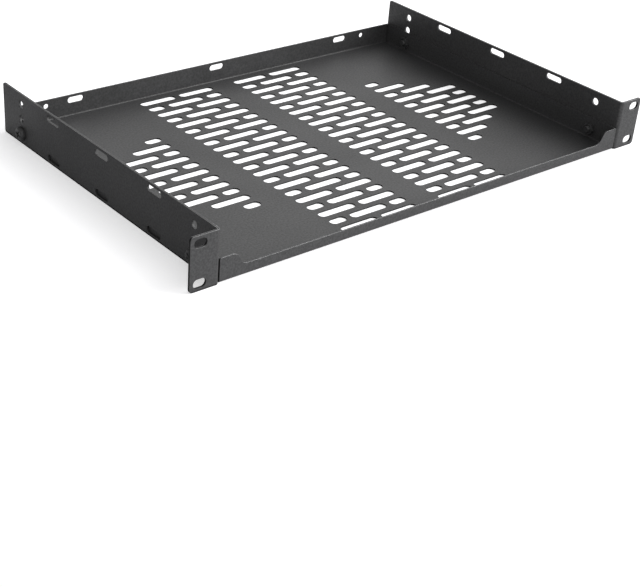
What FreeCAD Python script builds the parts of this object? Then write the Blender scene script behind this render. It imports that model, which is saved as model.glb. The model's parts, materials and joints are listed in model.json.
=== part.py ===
"""Cantilever rack shelf, 19 inches wide and one rack unit high.

A perforated sheet-steel tray hangs between two folded side brackets, held by four screws and nuts.

Millimetres. X runs across the rack, Y from front to back and Z up. The origin is the centre of the
four ear slots, on the back face of the ears, where they bear on the rack's rails.
"""
import FreeCAD, Part
import math
import os
from FreeCAD import Rotation, Vector

# Rack and ears
panel_width = 482.6          # across both ears
panel_height = 44.0          # one rack unit, less a little clearance
ear_width = 23.8             # from a bracket's outer face to the ear's tip
ear_slot_length = 11.0
ear_slot_width = 7.0
ear_slot_to_tip = 8.75       # slot centre to the ear's tip
ear_slot_to_edge = 6.125     # slot centre to the ear's top or bottom edge
ear_corner_radius = 3.0

# Brackets
bracket_depth = 300.0        # from the ear's front face to the bracket's rear end
bracket_sheet = 2.0
bracket_bend_radius = 1.0    # inside radius
bracket_corner_radius = 2.0  # rear corners
side_slot_length = 18.0
side_slot_width = 5.4
side_slot_pitch = 71.0
side_slots_each_way = 1      # slots on each side of the middle one
side_slot_to_edge = 5.0      # slot centre to the bracket's top or bottom edge

# Tray
tray_sheet = 1.2
tray_bend_radius = 1.2       # inside radius
tray_setback = 0.8           # lip's front face behind the ears' front face
wall_height = 20.0           # side flanges, rear lip and the ends of the front lip
wall_corner_radius = 1.0
corner_gap = 0.4             # between a flange's end and the lip that it meets
lip_end_gap = 0.5            # between a lip's end and the bracket beside it
lip_height = 9.3             # front lip between its raised ends
lip_end_width = 15.5         # raised end, from the bracket to the sharp corner of the step
step_angle = 60.0            # slope of the step, from the horizontal
step_radius = 7.0

# Floor perforation
floor_slot_length = 36.0
floor_slot_width = 8.0
floor_web = 5.5              # sheet between two slots of a row
row_pitch = 13.7
column_pitch = 103.25
floor_margin = 8.0           # slots stay this far inside the tray's walls
arrow_half_rows = 5          # rows of an outer column on each side of its middle row

# Rear lip openings
lip_slot_length = 15.2
lip_slot_width = 5.4
lip_slot_pitch = 150.0
lip_slot_to_edge = 4.9       # slot centre to the lip's top edge
lip_hole_diameter = 4.5
lip_hole_to_edge = 5.7       # hole centre to the lip's top edge
lip_hole_offset = 178.8      # from the middle of the shelf

# Fasteners
thread_diameter = 6.0
screw_length = 8.0
head_diameter = 12.0
head_height = 4.0
head_crown_radius = 2.6
screw_tip_chamfer = 0.7
recess_span = 6.2
recess_arm = 1.2
recess_depth = 2.2
nut_flats = 10.0
nut_height = 3.2
nut_chamfer_angle = 30.0
thread_clearance = 0.05      # between the screw and the nut's bore
hole_clearance = 0.3         # between the screw and the sheets' holes
screw_height = 9.3           # above the tray's underside
screw_setback = 29.0         # from the bracket's front face and from its rear end

# Places worked out from the sizes above
ear_front = -bracket_sheet
bracket_rear = ear_front + bracket_depth
bracket_middle = (ear_front + bracket_rear) / 2
top = panel_height / 2
bottom = -panel_height / 2
ear_tip = panel_width / 2
bracket_outer = ear_tip - ear_width
bracket_inner = bracket_outer - bracket_sheet
tray_front = ear_front + tray_setback
tray_rear = bracket_rear
tray_middle = (tray_front + tray_rear) / 2
tray_side = bracket_inner
tray_bend_outer = tray_bend_radius + tray_sheet
wall_top = bottom + wall_height
sheet_hole_radius = thread_diameter / 2 + hole_clearance
screw_rows = (ear_front + screw_setback, bracket_rear - screw_setback)
screw_z = bottom + screw_height
cut_margin = 1.0             # how far a cutter runs past the sheet that it cuts
tolerance = 1e-6


def on_xy(z):
    """Maps a profile's (u, v) to the horizontal plane at height z."""
    return lambda u, v: Vector(u, v, z)


def on_xz(y):
    """Maps a profile's (u, v) to the plane across the rack at depth y."""
    return lambda u, v: Vector(u, y, v)


def on_yz(x):
    """Maps a profile's (u, v) to the plane along the rack's side at x."""
    return lambda u, v: Vector(x, u, v)


def rounded_face(points, radii, to_space):
    """Flat face inside a polygon whose corners are rounded by tangent arcs. A radius of 0 stays sharp."""
    corners = []
    count = len(points)
    for index, (point, radius) in enumerate(zip(points, radii)):
        here = Vector(point[0], point[1], 0)
        before = Vector(*points[index - 1], 0) - here
        after = Vector(*points[(index + 1) % count], 0) - here
        before.normalize()
        after.normalize()
        if radius == 0:
            corners.append((here, here, here))
            continue
        half_angle = before.getAngle(after) / 2
        tangent = radius / math.tan(half_angle)
        inward = (before + after).normalize()
        middle = here + inward * (radius / math.sin(half_angle) - radius)
        corners.append((here + before * tangent, middle, here + after * tangent))
    edges = []
    for index, (start, middle, end) in enumerate(corners):
        if start != end:
            arc = Part.Arc(to_space(start.x, start.y), to_space(middle.x, middle.y), to_space(end.x, end.y))
            edges.append(arc.toShape())
        following = corners[(index + 1) % count][0]
        if end.distanceToPoint(following) > tolerance:
            line = Part.LineSegment(to_space(end.x, end.y), to_space(following.x, following.y))
            edges.append(line.toShape())
    return Part.Face(Part.Wire(edges))


def angle_face(upright, leg, sheet, bend_radius, to_space):
    """Section of a sheet folded to a right angle, with its outer corner at (0, 0)."""
    points = ((0, 0), (leg, 0), (leg, sheet), (sheet, sheet), (sheet, upright), (0, upright))
    radii = (bend_radius + sheet, 0, 0, bend_radius, 0, 0)
    return rounded_face(points, radii, to_space)


def slot_face(u, v, length, width, to_space):
    """Round-ended slot along u, centred at (u, v)."""
    radius = width / 2
    run = length / 2 - radius
    edges = []
    for end in (-1, 1):
        start = to_space(u + end * run, v - end * radius)
        tip = to_space(u + end * (run + radius), v)
        finish = to_space(u + end * run, v + end * radius)
        edges.append(Part.Arc(start, tip, finish).toShape())
        edges.append(Part.LineSegment(finish, to_space(u - end * run, v + end * radius)).toShape())
    return Part.Face(Part.Wire(edges))


def corner_edges(bracket, at_end):
    """Edges through the bracket's sheet whose ends both satisfy at_end."""
    through = [edge for edge in bracket.Edges if abs(edge.Length - bracket_sheet) < tolerance]
    return [edge for edge in through if all(at_end(vertex.Point) for vertex in edge.Vertexes)]


def side_bore(side, y, z, sheet_inner, sheet):
    """Cutter for a screw hole through a sheet at one side, whose inner face is at sheet_inner."""
    start = Vector(side * (sheet_inner - cut_margin), y, z)
    return Part.makeCylinder(sheet_hole_radius, sheet + 2 * cut_margin, start, Vector(side, 0, 0))


def right_bracket():
    """Side plate with its mounting ear folded outwards at the front."""
    blank = angle_face(
        bracket_depth,
        ear_tip - bracket_inner,
        bracket_sheet,
        bracket_bend_radius,
        lambda u, v: Vector(bracket_inner + u, ear_front + v, bottom),
    )
    bracket = blank.extrude(Vector(0, 0, panel_height))
    ear_corners = corner_edges(bracket, lambda point: abs(point.x - ear_tip) < tolerance)
    bracket = bracket.makeFillet(ear_corner_radius, ear_corners)
    rear_corners = corner_edges(bracket, lambda point: abs(point.y - bracket_rear) < tolerance)
    bracket = bracket.makeFillet(bracket_corner_radius, rear_corners)

    cut_length = bracket_sheet + 2 * cut_margin
    cutters = []
    for z in (top - ear_slot_to_edge, bottom + ear_slot_to_edge):
        x = ear_tip - ear_slot_to_tip
        face = slot_face(x, z, ear_slot_length, ear_slot_width, on_xz(ear_front - cut_margin))
        cutters.append(face.extrude(Vector(0, cut_length, 0)))
    for step in range(-side_slots_each_way, side_slots_each_way + 1):
        y = bracket_middle + step * side_slot_pitch
        for z in (top - side_slot_to_edge, bottom + side_slot_to_edge):
            face = slot_face(y, z, side_slot_length, side_slot_width, on_yz(bracket_inner - cut_margin))
            cutters.append(face.extrude(Vector(cut_length, 0, 0)))
    # Spare holes, for a tray fixed at the top instead: one above each screw and one halfway up at the rear.
    for y, heights in zip(screw_rows, ((screw_z, -screw_z), (screw_z, 0, -screw_z))):
        for z in heights:
            cutters.append(side_bore(1, y, z, bracket_inner, bracket_sheet))
    return bracket.cut(cutters)


def plain_outline(half_length):
    """Corners and radii of a wall above its bend. The wall's middle is at u = 0, and v is the height."""
    points = (
        (-half_length, tray_bend_outer),
        (half_length, tray_bend_outer),
        (half_length, wall_height),
        (-half_length, wall_height),
    )
    return points, (0, 0, wall_corner_radius, wall_corner_radius)


def stepped_outline(half_length):
    """The same for the front lip, which is lower between its two ends, with a rounded step at each."""
    drop = wall_height - lip_height
    slope = math.radians(step_angle)
    raised = tray_side - lip_end_width
    lowered = raised - drop / math.tan(slope)
    radius = min(step_radius, drop / 2 / math.sin(slope) / math.tan(slope / 2))
    points = (
        (-half_length, tray_bend_outer),
        (half_length, tray_bend_outer),
        (half_length, wall_height),
        (raised, wall_height),
        (lowered, lip_height),
        (-lowered, lip_height),
        (-raised, wall_height),
        (-half_length, wall_height),
    )
    return points, (0, 0, wall_corner_radius, radius, radius, radius, radius, wall_corner_radius)


def tray_wall(outline, bend_half_length, angle, x, y):
    """A wall and the bend below it. At angle 0 its outer face looks to the front."""
    points, radii = outline
    plate = rounded_face(points, radii, on_xz(0)).extrude(Vector(0, tray_sheet, 0))
    section = angle_face(
        tray_bend_outer,
        tray_bend_outer,
        tray_sheet,
        tray_bend_radius,
        lambda u, v: Vector(-bend_half_length, u, v),
    )
    wall = plate.fuse(section.extrude(Vector(2 * bend_half_length, 0, 0)))
    wall.Placement = FreeCAD.Placement(Vector(x, y, bottom), Rotation(Vector(0, 0, 1), angle))
    return wall


def folded_pan():
    """Floor and walls. The lips are bent along their whole length, and the flanges stop short of them."""
    half_floor_x = tray_side - tray_bend_outer
    half_floor_y = (tray_rear - tray_front) / 2 - tray_bend_outer
    corner = Vector(-half_floor_x, tray_middle - half_floor_y, bottom)
    pan_floor = Part.makeBox(2 * half_floor_x, 2 * half_floor_y, tray_sheet, corner)
    lip_half_length = tray_side - lip_end_gap
    flange_half_length = (tray_rear - tray_front) / 2 - tray_sheet - corner_gap
    flange_bend = half_floor_y - corner_gap
    walls = [
        tray_wall(stepped_outline(lip_half_length), lip_half_length, 0, 0, tray_front),
        tray_wall(plain_outline(flange_half_length), flange_bend, 90, tray_side, tray_middle),
        tray_wall(plain_outline(lip_half_length), lip_half_length, 180, 0, tray_rear),
        tray_wall(plain_outline(flange_half_length), flange_bend, 270, -tray_side, tray_middle),
    ]
    return pan_floor.fuse(walls).removeSplitter()


def row_slots(row, column):
    """Slots of one row of a column, as (offset from the column's centre, length).

    Even rows hold two long slots. Odd rows hold a long slot between two short ones, flush with the even
    rows' ends. The outer columns are arrowheads that point outwards: they lose a slot from their outer end
    every second row, and have none past arrow_half_rows.
    """
    spacing = floor_slot_length + floor_web
    short_length = (floor_slot_length - floor_web) / 2
    short_offset = floor_slot_length / 2 + floor_web + short_length / 2
    outward = 1 if column > 0 else -1
    distance = abs(row)
    if distance % 2 == 0:
        slots = [(-spacing / 2, floor_slot_length), (spacing / 2, floor_slot_length)]
    else:
        slots = [(-short_offset, short_length), (0, floor_slot_length), (short_offset, short_length)]
    if abs(column) < 1:
        return slots
    kept = max(0, (arrow_half_rows + 2 - distance) // 2)
    return [(outward * offset, length) for offset, length in slots[:kept]]


def floor_slots():
    """Perforation of the floor: two full columns and two arrowheads that point outwards."""
    half_room = (tray_rear - tray_front) / 2 - floor_margin - floor_slot_width / 2
    half_rows = int(half_room / row_pitch)
    side_room = tray_side - floor_margin
    cutters = []
    for row in range(-half_rows, half_rows + 1):
        y = tray_middle + row * row_pitch
        for column in (-1.5, -0.5, 0.5, 1.5):
            for offset, length in row_slots(row, column):
                x = column * column_pitch + offset
                if abs(x) + length / 2 > side_room:
                    continue
                face = slot_face(x, y, length, floor_slot_width, on_xy(bottom - cut_margin))
                cutters.append(face.extrude(Vector(0, 0, tray_sheet + 2 * cut_margin)))
    return cutters


def rear_lip_openings():
    """Three cable-tie slots and a small round hole at each end of the rear lip."""
    start_y = tray_rear - tray_sheet - cut_margin
    length_y = tray_sheet + 2 * cut_margin
    cutters = []
    for x in (-lip_slot_pitch, 0, lip_slot_pitch):
        face = slot_face(x, wall_top - lip_slot_to_edge, lip_slot_length, lip_slot_width, on_xz(start_y))
        cutters.append(face.extrude(Vector(0, length_y, 0)))
    for x in (-lip_hole_offset, lip_hole_offset):
        start = Vector(x, start_y, wall_top - lip_hole_to_edge)
        cutters.append(Part.makeCylinder(lip_hole_diameter / 2, length_y, start, Vector(0, 1, 0)))
    return cutters


def tray():
    """The folded pan with all its openings."""
    cutters = floor_slots() + rear_lip_openings()
    for side in (-1, 1):
        for y in screw_rows:
            cutters.append(side_bore(side, y, screw_z, tray_side - tray_sheet, tray_sheet))
    return folded_pan().cut(cutters)


def screw():
    """Pan-head screw along +Z, with the underside of its head at the origin."""
    thread_radius = thread_diameter / 2
    points = (
        (0, head_height),
        (0, -screw_length),
        (thread_radius - screw_tip_chamfer, -screw_length),
        (thread_radius, -screw_length + screw_tip_chamfer),
        (thread_radius, 0),
        (head_diameter / 2, 0),
        (head_diameter / 2, head_height),
    )
    radii = (0, 0, 0, 0, 0, 0, head_crown_radius)
    body = rounded_face(points, radii, on_xz(0)).revolve(Vector(0, 0, 0), Vector(0, 0, 1), 360)
    floor = head_height - recess_depth
    arms = []
    for span_x, span_y in ((recess_span, recess_arm), (recess_arm, recess_span)):
        arm = Part.makeBox(span_x, span_y, recess_depth + cut_margin)
        arm.translate(Vector(-span_x / 2, -span_y / 2, floor))
        arms.append(arm)
    return body.cut(arms)


def nut():
    """Hexagon nut along -Z, with its bearing face at the origin and a flat facing +X."""
    side_angle = math.pi / 3
    corner_radius = nut_flats / 2 / math.cos(side_angle / 2)
    corners = []
    for index in range(6):
        angle = side_angle * (index + 0.5)
        corners.append((corner_radius * math.cos(angle), corner_radius * math.sin(angle)))
    hexagon = rounded_face(corners, (0,) * 6, on_xy(-nut_height)).extrude(Vector(0, 0, nut_height))
    bevel = (corner_radius - nut_flats / 2) * math.tan(math.radians(nut_chamfer_angle))
    bore = thread_diameter / 2 + thread_clearance
    envelope = (
        (bore, 0),
        (nut_flats / 2, 0),
        (corner_radius, -bevel),
        (corner_radius, -nut_height + bevel),
        (nut_flats / 2, -nut_height),
        (bore, -nut_height),
    )
    turned = rounded_face(envelope, (0,) * 6, on_xz(0)).revolve(Vector(0, 0, 0), Vector(0, 0, 1), 360)
    return hexagon.common(turned)


def at_each_screw(piece, distance):
    """Copies of a +Z fastener at the four screw places, facing outwards at a distance from the middle."""
    copies = []
    for side in (-1, 1):
        turn = Rotation(Vector(0, 0, 1), Vector(side, 0, 0))
        for y in screw_rows:
            copy = piece.copy()
            copy.Placement = FreeCAD.Placement(Vector(side * distance, y, screw_z), turn)
            copies.append(copy)
    return Part.makeCompound(copies)


def main():
    right = right_bracket()
    nodes = {
        "tray": tray(),
        "right_bracket": right,
        "left_bracket": right.mirror(Vector(0, 0, 0), Vector(1, 0, 0)),
        "screws": at_each_screw(screw(), bracket_outer),
        "nuts": at_each_screw(nut(), tray_side - tray_sheet),
    }
    os.makedirs("parts", exist_ok=True)
    for name, shape in nodes.items():
        shape.exportStep(f"parts/{name}.step")


main()
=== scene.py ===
"""Visual model of a cantilever rack shelf: powder-coated sheet steel with four screws and nuts."""
import json
import math

import bmesh
import bpy
from mathutils import Matrix, Vector

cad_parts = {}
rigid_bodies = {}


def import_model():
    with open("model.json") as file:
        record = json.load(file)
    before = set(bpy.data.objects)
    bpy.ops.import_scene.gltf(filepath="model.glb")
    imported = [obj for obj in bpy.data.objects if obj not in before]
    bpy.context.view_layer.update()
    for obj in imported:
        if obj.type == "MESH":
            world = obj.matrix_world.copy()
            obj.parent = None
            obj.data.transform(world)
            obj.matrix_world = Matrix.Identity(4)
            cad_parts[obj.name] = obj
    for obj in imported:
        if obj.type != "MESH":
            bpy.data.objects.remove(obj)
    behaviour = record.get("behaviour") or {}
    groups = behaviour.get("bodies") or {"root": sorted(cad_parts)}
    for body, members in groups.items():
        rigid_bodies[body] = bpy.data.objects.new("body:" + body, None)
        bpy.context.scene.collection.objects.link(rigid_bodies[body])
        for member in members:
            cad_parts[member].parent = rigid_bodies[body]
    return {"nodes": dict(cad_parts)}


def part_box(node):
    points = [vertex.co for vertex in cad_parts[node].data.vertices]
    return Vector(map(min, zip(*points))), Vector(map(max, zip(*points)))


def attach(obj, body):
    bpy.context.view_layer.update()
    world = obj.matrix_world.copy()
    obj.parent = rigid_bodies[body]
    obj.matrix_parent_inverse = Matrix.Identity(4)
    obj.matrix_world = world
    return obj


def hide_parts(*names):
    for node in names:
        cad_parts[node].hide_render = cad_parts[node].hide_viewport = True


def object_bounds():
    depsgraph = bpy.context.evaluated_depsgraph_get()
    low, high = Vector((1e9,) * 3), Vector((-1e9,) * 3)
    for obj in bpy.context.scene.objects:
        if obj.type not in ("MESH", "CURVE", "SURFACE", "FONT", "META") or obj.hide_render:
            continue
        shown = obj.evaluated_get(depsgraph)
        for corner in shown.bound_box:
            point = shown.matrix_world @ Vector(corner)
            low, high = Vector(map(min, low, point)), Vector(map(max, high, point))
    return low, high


for leftover in list(bpy.data.objects):
    bpy.data.objects.remove(leftover)
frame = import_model()
cad_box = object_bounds()

MM = 0.001
CENTRE = (cad_box[0] + cad_box[1]) / 2

# Camera: its optical axis meets the floor at AIM, in front of the front lip and near its left end
VIEW_AZIMUTH = -42.46
VIEW_ELEVATION = 30.75
VIEW_ROLL = 4.95
VIEW_LENS = 76.4
VIEW_DISTANCE = 0.9493
AIM = Vector((-0.1638, -0.0503, cad_box[0].z))

# Sheets: their thicknesses, and the floor's top and the ears' back that follow from them
TRAY_STEEL = 1.2 * MM
BRACKET_STEEL = 2.0 * MM
FLOOR_TOP = cad_box[0].z + TRAY_STEEL
EAR_BACK = cad_box[0].y + BRACKET_STEEL

# Nodes: most of a noise lies within NOISE_RANGE, and a grey's blue is BLUE_TINT times its red and green
NOISE_RANGE = (0.3, 0.7)
FULL_RANGE = (0, 1)
BLUE_TINT = 1.02

# Sheet edges
EDGE_RADIUS = 0.25 * MM
EDGE_SEGMENTS = 2
EDGE_ANGLE = math.radians(50)
FLAT_ANGLE = math.radians(0.5)
WELD_DISTANCE = 0.002 * MM
SMOOTH_ANGLE = math.radians(35)

# Powder coat: the sizes of its textures, and from where to where its looks vary. COAT_SHADE is a share of
# the bare-metal grey that the painted edge highlight reaches.
COAT_GRAIN = 0.7 * MM
COAT_SPECKLE = 1.6 * MM
COAT_CLOUD = 60 * MM
COAT_SHADE = (0.05, 0.06)
COAT_GLOSS = (0.33, 0.67)
COAT_ROUGHNESS = (0.47, 0.55)
COAT_BUMP_STRENGTH = 0.55
COAT_BUMP_DEPTH = 0.1 * MM
HIGHLIGHT_GREY = 0.85

# Painted highlight: bright bare metal on rounded edges that face up, stand free and sit above the floor,
# mostly at the front, in place of the highlights that light puts there. A pair gives the two values between
# which the highlight comes or goes; the patchiness pair and the value behind the front are shares of it
# instead.
HIGHLIGHT_RADIUS = 0.9 * MM
HIGHLIGHT_ROUNDNESS = (0.90, 0.99)
HIGHLIGHT_FACING_UP = (0.5, 0.8)
HIGHLIGHT_HEIGHT = (cad_box[0].z + 4 * MM, cad_box[0].z + 6 * MM)
HIGHLIGHT_DEPTH = (3 * MM, 10 * MM)
HIGHLIGHT_BEHIND = 0.3
HIGHLIGHT_PATCH = 9 * MM
HIGHLIGHT_PATCHINESS = (0.75, 1)
SHELTER_DISTANCE = 8 * MM
SHELTER_OPENNESS = (0.7, 0.9)

# Cut walls: painted shade on the walls of the cuts through the tray's floor and the ears, which lose colour
# and gloss, most where they face left. CUT_LEAN goes from wall to face, in the normal's part across the
# sheet, and
# CUT_FACING_LEFT from left to elsewhere, in its part to the right. The CUT_SHARE values weaken this.
CUT_LEAN_FLOOR = (0.7, 0.98)
CUT_LEAN_EAR = (0.2, 0.33)
CUT_SHARE_EAR = 0.7
CUT_FACING_LEFT = (-0.7, -0.2)
CUT_SHARE_ELSEWHERE = 0.4
CUT_TOLERANCE = 0.02 * MM

# Black oxide
OXIDE_GRAIN = 0.25 * MM
OXIDE_PATCH = 2.5 * MM
OXIDE_SHADE = (0.045, 0.075)
OXIDE_METALLIC = 0.2
OXIDE_ROUGHNESS = (0.28, 0.40)
OXIDE_BUMP_STRENGTH = 0.25
OXIDE_BUMP_DEPTH = 0.03 * MM

# Screws: M6, pan head with a cross recess
HEAD_RADIUS = 6.0 * MM
HEAD_HEIGHT = 4.0 * MM
HEAD_CROWN = 2.6 * MM
HEAD_RIM = 0.15 * MM
HEAD_FIRST_RING = 0.02 * MM
HEAD_RINGS = 52
SCREW_LENGTH = 8.0 * MM
SCREW_SIDES = 72
SCREW_TURNS = (35, 70, 10, 50)
THREAD_RADIUS = 3.0 * MM
THREAD_PITCH = 1.0 * MM
THREAD_DEPTH = 0.55 * MM
THREAD_RINGS = 64
TIP_CHAMFER = 0.7 * MM
RECESS_SPAN = 6.8 * MM
RECESS_ARM = 1.5 * MM
RECESS_DEPTH = 2.4 * MM
RECESS_RISE = 0.55
RECESS_WALL = 0.2 * MM

# Nuts: M6
NUT_FLATS = 10.0 * MM
NUT_BORE_RADIUS = 3.05 * MM
NUT_LEAD_IN = 0.5 * MM
NUT_CHAMFER = math.radians(30)
NUT_TURN = 90
NUT_RINGS = 20
NUT_SIDES = 96

# Light: the sky's brightness towards each side, and one broad key light
SKY = (
    ((0.97, 0, 0.24), 1.65),
    ((-1, 0, 0), 0.36),
    ((0, -1, 0), 0.87),
    ((0, 1, 0), 0.15),
)
KEY_ENERGY = 1.6
KEY_ANGLE = 40
KEY_FROM = (0.8, -0.5, 0.6)

# Floor: it goes from dark to light between the two places of FLOOR_FADE, along X from its middle, a painted
# shade
# that darkens the object's left side by reflection and bounce. The other pairs are for its dark and its
# light side:
# its paint, and its lift for the camera.
FLOOR_REACH = 4.0
FLOOR_FADE = (-0.38, -0.22)
FLOOR_SHADE = (0.13, 0.86)
FLOOR_LIFT = (0.88, 0.5)


# ---------------------------------------------------------------- node helpers

def new_material(name):
    material = bpy.data.materials.new(name)
    material.use_nodes = True
    material.node_tree.nodes.clear()
    return material


def add_node(tree, kind, **settings):
    """A new node. A setting goes to the input of its name, or else to the node's own property."""
    node = tree.nodes.new(kind)
    for name, value in settings.items():
        if name in node.inputs:
            node.inputs[name].default_value = value
        else:
            setattr(node, name, value)
    return node


def object_place(tree):
    """A point's place in its own object, in metres."""
    return add_node(tree, "ShaderNodeTexCoord").outputs["Object"]


def surface_normal(tree):
    return add_node(tree, "ShaderNodeNewGeometry").outputs["Normal"]


def part_of(tree, vector, axis):
    """The vector's part along one axis."""
    node = add_node(tree, "ShaderNodeSeparateXYZ")
    tree.links.new(vector, node.inputs["Vector"])
    return node.outputs[axis]


def noise(tree, coordinates, size, detail=2):
    """Noise whose features are about size metres across."""
    node = add_node(tree, "ShaderNodeTexNoise", Scale=1 / size, Detail=detail)
    tree.links.new(coordinates, node.inputs["Vector"])
    return node.outputs["Fac"]


def remap(tree, value, low, high, source=NOISE_RANGE):
    """The source range of value spread over low to high."""
    node = add_node(tree, "ShaderNodeMapRange")
    node.inputs["From Min"].default_value = source[0]
    node.inputs["From Max"].default_value = source[1]
    node.inputs["To Min"].default_value = low
    node.inputs["To Max"].default_value = high
    tree.links.new(value, node.inputs["Value"])
    return node.outputs["Result"]


def combine(tree, operation, first, *others):
    """All the values put together by one operation."""
    for other in others:
        node = add_node(tree, "ShaderNodeMath", operation=operation)
        tree.links.new(first, node.inputs[0])
        tree.links.new(other, node.inputs[1])
        first = node.outputs[0]
    return first


def greys(tree, value, dark, light):
    """Colour between two greys."""
    ramp = add_node(tree, "ShaderNodeValToRGB")
    for element, grey in zip(ramp.color_ramp.elements, (dark, light)):
        element.color = (grey, grey, grey * BLUE_TINT, 1)
    tree.links.new(value, ramp.inputs["Fac"])
    return ramp.outputs["Color"]


def near_edges(tree, radius):
    """1 on an edge that is rounded over radius, falling to 0 on the flat beside it."""
    rounded = add_node(tree, "ShaderNodeBevel", samples=6, Radius=radius)
    facing = add_node(tree, "ShaderNodeVectorMath", operation="DOT_PRODUCT")
    tree.links.new(rounded.outputs["Normal"], facing.inputs[0])
    tree.links.new(surface_normal(tree), facing.inputs[1])
    return remap(tree, facing.outputs["Value"], 1, 0, HIGHLIGHT_ROUNDNESS)


def unsheltered(tree, distance):
    """1 where nothing stands within the distance of the surface, falling to 0 beside a wall."""
    shelter = add_node(tree, "ShaderNodeAmbientOcclusion", samples=8, Distance=distance)
    return remap(tree, shelter.outputs["AO"], 0, 1, SHELTER_OPENNESS)


def cut_walls(tree, across, lean, place, end):
    """1 on the walls of a sheet's cuts, as far as the sheet ends. Across is the normal's part across it."""
    flatness = add_node(tree, "ShaderNodeMath", operation="ABSOLUTE")
    tree.links.new(across, flatness.inputs[0])
    walls = remap(tree, flatness.outputs[0], 1, 0, lean)
    inside = remap(tree, place, 1, 0, (end - CUT_TOLERANCE, end + CUT_TOLERANCE))
    return combine(tree, "MULTIPLY", walls, inside)


def add_bump(tree, shader, height, strength, distance):
    bump = add_node(tree, "ShaderNodeBump", Strength=strength, Distance=distance)
    tree.links.new(height, bump.inputs["Height"])
    tree.links.new(bump.outputs["Normal"], shader.inputs["Normal"])


def to_surface(tree, shader):
    output = add_node(tree, "ShaderNodeOutputMaterial")
    tree.links.new(shader, output.inputs["Surface"])


# ---------------------------------------------------------------- materials

def powder_coat():
    """Black powder coat: a fine sandy grain under a satin skin, with a painted highlight on top edges and
    painted shade on cut walls.
    """
    material = new_material("powder_coat_finish")
    tree = material.node_tree
    place = object_place(tree)
    depth = part_of(tree, place, "Y")
    height = part_of(tree, place, "Z")
    normal = surface_normal(tree)
    facing_up = part_of(tree, normal, "Z")
    speckle = noise(tree, place, COAT_SPECKLE)

    # Painted highlight: bright bare metal on free, up-facing rounded edges above the floor, strongest at the
    # front
    edge_highlight = combine(
        tree, "MULTIPLY",
        near_edges(tree, HIGHLIGHT_RADIUS),
        unsheltered(tree, SHELTER_DISTANCE),
        remap(tree, facing_up, 0, 1, HIGHLIGHT_FACING_UP),
        remap(tree, height, 0, 1, HIGHLIGHT_HEIGHT),
        remap(tree, depth, 1, HIGHLIGHT_BEHIND, HIGHLIGHT_DEPTH),
        remap(tree, noise(tree, place, HIGHLIGHT_PATCH), *HIGHLIGHT_PATCHINESS),
    )

    # Painted shade: the walls of the cuts lose colour and gloss, most where they face left
    ear_walls = cut_walls(tree, part_of(tree, normal, "Y"), CUT_LEAN_EAR, depth, EAR_BACK)
    cut = combine(
        tree, "MAXIMUM",
        cut_walls(tree, facing_up, CUT_LEAN_FLOOR, height, FLOOR_TOP),
        remap(tree, ear_walls, 0, CUT_SHARE_EAR, FULL_RANGE),
    )
    to_the_left = remap(tree, part_of(tree, normal, "X"), 1, CUT_SHARE_ELSEWHERE, CUT_FACING_LEFT)
    unshaded = remap(tree, combine(tree, "MULTIPLY", cut, to_the_left), 1, 0, FULL_RANGE)

    # Coat tone, raised to bare metal by the painted edge highlight; the painted shade of cut walls then
    # darkens colour and gloss
    shade = combine(tree, "MAXIMUM", remap(tree, speckle, *COAT_SHADE), edge_highlight)
    colour = greys(tree, combine(tree, "MULTIPLY", shade, unshaded), 0, HIGHLIGHT_GREY)
    gloss = combine(tree, "MULTIPLY", remap(tree, speckle, *COAT_GLOSS), unshaded)
    roughness = remap(tree, noise(tree, place, COAT_CLOUD), *COAT_ROUGHNESS)
    shader = add_node(tree, "ShaderNodeBsdfPrincipled")
    tree.links.new(colour, shader.inputs["Base Color"])
    tree.links.new(edge_highlight, shader.inputs["Metallic"])
    tree.links.new(gloss, shader.inputs["Specular IOR Level"])
    tree.links.new(roughness, shader.inputs["Roughness"])
    grain = noise(tree, place, COAT_GRAIN, detail=3)
    add_bump(tree, shader, grain, COAT_BUMP_STRENGTH, COAT_BUMP_DEPTH)
    to_surface(tree, shader.outputs["BSDF"])
    return material


def black_oxide():
    """Black oxide on turned steel: smoother than the sheets, with faint rubbed patches."""
    material = new_material("black_oxide_finish")
    tree = material.node_tree
    place = object_place(tree)
    patches = noise(tree, place, OXIDE_PATCH, detail=3)
    colour = greys(tree, remap(tree, patches, 0, 1), *OXIDE_SHADE)
    shader = add_node(tree, "ShaderNodeBsdfPrincipled", Metallic=OXIDE_METALLIC)
    tree.links.new(colour, shader.inputs["Base Color"])
    tree.links.new(remap(tree, patches, *OXIDE_ROUGHNESS), shader.inputs["Roughness"])
    grain = noise(tree, place, OXIDE_GRAIN)
    add_bump(tree, shader, grain, OXIDE_BUMP_STRENGTH, OXIDE_BUMP_DEPTH)
    to_surface(tree, shader.outputs["BSDF"])
    return material


def floor_paint():
    """Matt paint, darker to the left as painted shade. The camera sees it lifted to white, so that only
    shadows show.
    """
    material = new_material("floor_paint")
    tree = material.node_tree
    lightness = remap(tree, part_of(tree, object_place(tree), "X"), 0, 1, FLOOR_FADE)
    paint = add_node(tree, "ShaderNodeBsdfDiffuse")
    tree.links.new(greys(tree, lightness, *FLOOR_SHADE), paint.inputs["Color"])
    lift = add_node(tree, "ShaderNodeEmission")
    seen = add_node(tree, "ShaderNodeLightPath").outputs["Is Camera Ray"]
    lifted = combine(tree, "MULTIPLY", seen, remap(tree, lightness, *FLOOR_LIFT, FULL_RANGE))
    tree.links.new(lifted, lift.inputs["Strength"])
    both = add_node(tree, "ShaderNodeAddShader")
    tree.links.new(paint.outputs["BSDF"], both.inputs[0])
    tree.links.new(lift.outputs["Emission"], both.inputs[1])
    to_surface(tree, both.outputs["Shader"])
    return material


# ---------------------------------------------------------------- sheet steel

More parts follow.
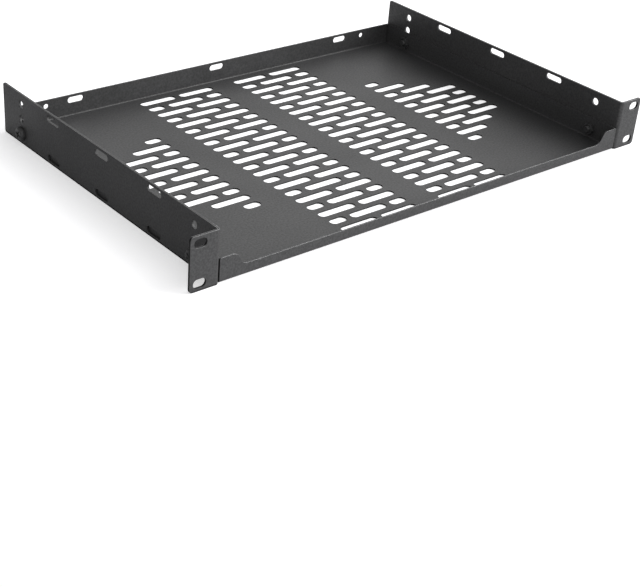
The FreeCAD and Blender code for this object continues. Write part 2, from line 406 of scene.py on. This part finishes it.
def soften_edges(sheet):
    """Rounds the sheet's cut edges a little, as its paint does, and shades its bends smooth."""
    weld = sheet.modifiers.new("weld", "WELD")
    weld.merge_threshold = WELD_DISTANCE
    flatten = sheet.modifiers.new("flatten", "DECIMATE")
    flatten.decimate_type = "DISSOLVE"
    flatten.angle_limit = FLAT_ANGLE
    bevel = sheet.modifiers.new("edges", "BEVEL")
    bevel.limit_method = "ANGLE"
    bevel.angle_limit = EDGE_ANGLE
    bevel.width = EDGE_RADIUS
    bevel.segments = EDGE_SEGMENTS
    bevel.use_clamp_overlap = False
    normals = sheet.modifiers.new("normals", "WEIGHTED_NORMAL")
    normals.keep_sharp = False


def finish_sheets(material):
    """The three CAD sheets, painted and with softened edges."""
    for name in ("tray", "left_bracket", "right_bracket"):
        sheet = frame["nodes"][name]
        sheet.data.materials[0] = material
        soften_edges(sheet)


# ---------------------------------------------------------------- screws and nuts

def steps(start, stop, count):
    """count + 1 even steps from start to stop."""
    return [start + (stop - start) * index / count for index in range(count + 1)]


def add_skin(mesh, rings, sides, pose):
    """Skin over rings about +Z, open at both ends. Each ring maps an angle to its radius and height."""
    rows = []
    for ring in rings:
        row = []
        for index in range(sides):
            angle = 2 * math.pi * index / sides
            radius, height = ring(angle)
            point = Vector((radius * math.cos(angle), radius * math.sin(angle), height))
            row.append(mesh.verts.new(pose @ point))
        rows.append(row)
    for row, following in zip(rows, rows[1:]):
        for index in range(sides):
            after = (index + 1) % sides
            mesh.faces.new((row[index], following[index], following[after], row[after]))
    return rows


def plain_ring(radius, height):
    return lambda angle: (radius, height)


def recess_depth(x, y):
    """Depth of the cross recess at a point of the head, deepest in its middle."""
    depth = 0.0
    for along, across in ((abs(x), abs(y)), (abs(y), abs(x))):
        inside = min(RECESS_ARM / 2 - across, RECESS_SPAN / 2 - along) / RECESS_WALL
        share = 1 - RECESS_RISE * along / (RECESS_SPAN / 2)
        depth = max(depth, min(max(inside, 0), 1) * share * RECESS_DEPTH)
    return depth


def head_ring(radius):
    """Ring on top of the head, which is flat in the middle and rounded at its rim."""
    drop = max(radius - (HEAD_RADIUS - HEAD_CROWN), 0)
    height = HEAD_HEIGHT - HEAD_CROWN + math.sqrt(max(HEAD_CROWN ** 2 - drop ** 2, 0))
    return lambda angle: (radius, height - recess_depth(radius * math.cos(angle), radius * math.sin(angle)))


def thread_ring(depth):
    """Ring of the thread at a depth under the head."""
    def ring(angle):
        turn = (depth / THREAD_PITCH + angle / (2 * math.pi)) % 1
        radius = THREAD_RADIUS - THREAD_DEPTH * (1 - abs(2 * turn - 1))
        return min(radius, THREAD_RADIUS - TIP_CHAMFER + (SCREW_LENGTH - depth)), -depth
    return ring


def add_screw(mesh, pose):
    """Screw along +Z, with the underside of its head at the origin and a face at each end."""
    rings = [head_ring(radius) for radius in steps(HEAD_FIRST_RING, HEAD_RADIUS, HEAD_RINGS)]
    rings += [plain_ring(HEAD_RADIUS, HEAD_RIM), plain_ring(HEAD_RADIUS - HEAD_RIM, 0)]
    rings += [thread_ring(depth) for depth in steps(0, SCREW_LENGTH, THREAD_RINGS)]
    rows = add_skin(mesh, rings, SCREW_SIDES, pose)
    mesh.faces.new(rows[0])
    mesh.faces.new(rows[-1][::-1])


def add_nut(mesh, pose, height):
    """Hexagon nut from the origin along +Z, with a flat facing +X. Its skin starts and ends in the bore."""
    flat = NUT_FLATS / 2

    def outer_ring(level):
        def ring(angle):
            across = (angle + math.pi / 6) % (math.pi / 3) - math.pi / 6
            from_end = min(level, height - level)
            return min(flat / math.cos(across), flat + from_end / math.tan(NUT_CHAMFER)), level
        return ring

    def face_ring(share, level):
        """Ring on an end face, a share of the way out from the bore's lead-in to the flats."""
        inner = NUT_BORE_RADIUS + NUT_LEAD_IN
        return plain_ring(inner + (flat - inner) * share, level)

    middle = plain_ring(NUT_BORE_RADIUS, height / 2)
    rings = [middle, plain_ring(NUT_BORE_RADIUS, NUT_LEAD_IN)]
    rings += [face_ring(0, 0), face_ring(1 / 2, 0)]
    rings += [outer_ring(level) for level in steps(0, height, NUT_RINGS)]
    rings += [face_ring(1 / 2, height), face_ring(0, height)]
    rings += [plain_ring(NUT_BORE_RADIUS, height - NUT_LEAD_IN), middle]
    add_skin(mesh, rings, NUT_SIDES, pose)


def finish_piece(name, build, node, material):
    """One smooth-shaded piece in place of a CAD node."""
    shape = bmesh.new()
    build(shape)
    bmesh.ops.recalc_face_normals(shape, faces=shape.faces)
    mesh = bpy.data.meshes.new(name)
    shape.to_mesh(mesh)
    shape.free()
    mesh.shade_smooth()
    mesh.set_sharp_from_angle(angle=SMOOTH_ANGLE)
    mesh.materials.append(material)
    piece = bpy.data.objects.new(name, mesh)
    bpy.context.scene.collection.objects.link(piece)
    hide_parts(node)
    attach(piece, "root")


def fastener_pose(side, distance, y, z, turn):
    """Places a +Z fastener at a distance from the middle, pointing outwards, turned about its own axis."""
    facing = Vector((side, 0, 0)).to_track_quat("Z", "Y").to_matrix().to_4x4()
    return Matrix.Translation((side * distance, y, z)) @ facing @ Matrix.Rotation(math.radians(turn), 4, "Z")


def finish_fasteners(material):
    """The four screws and nuts, where the CAD's are."""
    low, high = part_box("screws")
    rows = (low.y + HEAD_RADIUS, high.y - HEAD_RADIUS)
    middle = (low.z + high.z) / 2
    places = [(side, y) for side in (-1, 1) for y in rows]
    head_bearing = high.x - HEAD_HEIGHT

    def screws(shape):
        for (side, y), turn in zip(places, SCREW_TURNS):
            add_screw(shape, fastener_pose(side, head_bearing, y, middle, turn))

    nut_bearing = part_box("nuts")[1].x
    nut_end = min(abs(vertex.co.x) for vertex in frame["nodes"]["nuts"].data.vertices)

    def nuts(shape):
        for side, y in places:
            add_nut(shape, fastener_pose(side, nut_end, y, middle, NUT_TURN), nut_bearing - nut_end)

    finish_piece("pan_head_screws", screws, "screws", material)
    finish_piece("hexagon_nuts", nuts, "nuts", material)


# ---------------------------------------------------------------- studio

def make_floor():
    mesh = bpy.data.meshes.new("floor")
    corners = [(x * FLOOR_REACH, y * FLOOR_REACH, 0) for x, y in ((-1, -1), (1, -1), (1, 1), (-1, 1))]
    mesh.from_pydata(corners, [], [(0, 1, 2, 3)])
    mesh.materials.append(floor_paint())
    floor = bpy.data.objects.new("floor", mesh)
    floor.location = (CENTRE.x, CENTRE.y, cad_box[0].z)
    bpy.context.scene.collection.objects.link(floor)


def make_world():
    """White sky that is brightest to the right, weaker to the front and dim to the left and behind."""
    world = bpy.data.worlds.new("studio")
    bpy.context.scene.world = world
    world.use_nodes = True
    tree = world.node_tree
    tree.nodes.clear()
    direction = add_node(tree, "ShaderNodeTexCoord").outputs["Generated"]
    sides = []
    for towards, strength in SKY:
        facing = add_node(tree, "ShaderNodeVectorMath", operation="DOT_PRODUCT")
        tree.links.new(direction, facing.inputs[0])
        facing.inputs[1].default_value = towards
        sides.append(remap(tree, facing.outputs["Value"], 0, strength, FULL_RANGE))
    background = add_node(tree, "ShaderNodeBackground", Color=(1, 1, 1, 1))
    tree.links.new(combine(tree, "ADD", *sides), background.inputs["Strength"])
    output = add_node(tree, "ShaderNodeOutputWorld")
    tree.links.new(background.outputs["Background"], output.inputs["Surface"])


def make_sun():
    light = bpy.data.lights.new("key", "SUN")
    light.energy = KEY_ENERGY
    light.angle = math.radians(KEY_ANGLE)
    sun = bpy.data.objects.new("key", light)
    sun.rotation_euler = Vector(KEY_FROM).to_track_quat("Z", "Y").to_euler()
    bpy.context.scene.collection.objects.link(sun)


def make_camera():
    data = bpy.data.cameras.new("camera")
    data.lens = VIEW_LENS
    camera = bpy.data.objects.new("camera", data)
    turn = Matrix.Rotation(math.radians(VIEW_AZIMUTH), 4, "Z")
    tilt = Matrix.Rotation(math.radians(90 - VIEW_ELEVATION), 4, "X")
    roll = Matrix.Rotation(math.radians(VIEW_ROLL), 4, "Z")
    pose = turn @ tilt @ roll
    back = pose.to_3x3() @ Vector((0, 0, 1))
    camera.matrix_world = Matrix.Translation(AIM + back * VIEW_DISTANCE) @ pose
    bpy.context.scene.collection.objects.link(camera)
    bpy.context.scene.camera = camera


# ---------------------------------------------------------------- scene

finish_sheets(powder_coat())
finish_fasteners(black_oxide())
make_floor()
make_world()
make_sun()
make_camera()
bpy.context.scene.view_settings.view_transform = "Standard"
